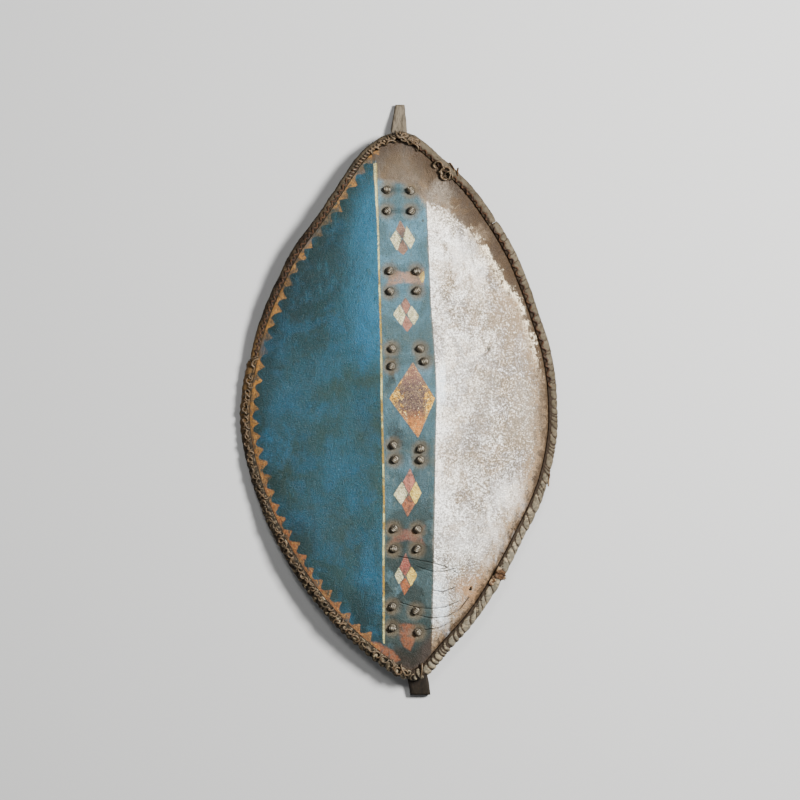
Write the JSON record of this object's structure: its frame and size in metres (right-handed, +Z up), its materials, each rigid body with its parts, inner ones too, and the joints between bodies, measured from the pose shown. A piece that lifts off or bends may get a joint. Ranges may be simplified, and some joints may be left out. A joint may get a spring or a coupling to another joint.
{
  "type": "hide shield",
  "caption": "Almond-shaped painted hide shield, bowed and cambered, with a rolled hide rim and a wooden stave behind that carries the hand grip",
  "frame": {"origin": "middle of the shield's outline, on the surface it lies on", "axes": "+X to the right seen from the painted front, +Y from the shield's foot to its head along the stave, +Z up out of the painted front"},
  "size_m": [0.5764, 1.072, 0.1033],
  "materials": {
    "painted_hide": "worn matt earth paint, teal blue on one half and chalk white on the other, over stiff rawhide",
    "rim_leather": "dry rawhide strip, wrapped and sewn, dull",
    "carved_wood": "weathered, knife-cut, dull",
    "thong_leather": "twisted rawhide thong, dark and handled"
  },
  "bodies": {
    "root": {"hide": "painted_hide", "stave": "carved_wood", "binding_lower_right": "rim_leather", "binding_upper_right": "rim_leather", "binding_upper_left": "rim_leather", "binding_lower_left": "rim_leather", "lashing_foot_lower": "thong_leather", "lashing_foot_upper": "thong_leather", "lashing_lower_grip_lower": "thong_leather", "lashing_lower_grip_upper": "thong_leather", "lashing_grip_lower": "thong_leather", "lashing_grip_upper": "thong_leather", "lashing_head_grip_lower": "thong_leather", "lashing_head_grip_upper": "thong_leather", "lashing_upper_grip_lower": "thong_leather", "lashing_upper_grip_upper": "thong_leather", "lashing_head_lower": "thong_leather", "lashing_head_upper": "thong_leather", "thong_loop": "thong_leather"}
  },
  "joints": []
}
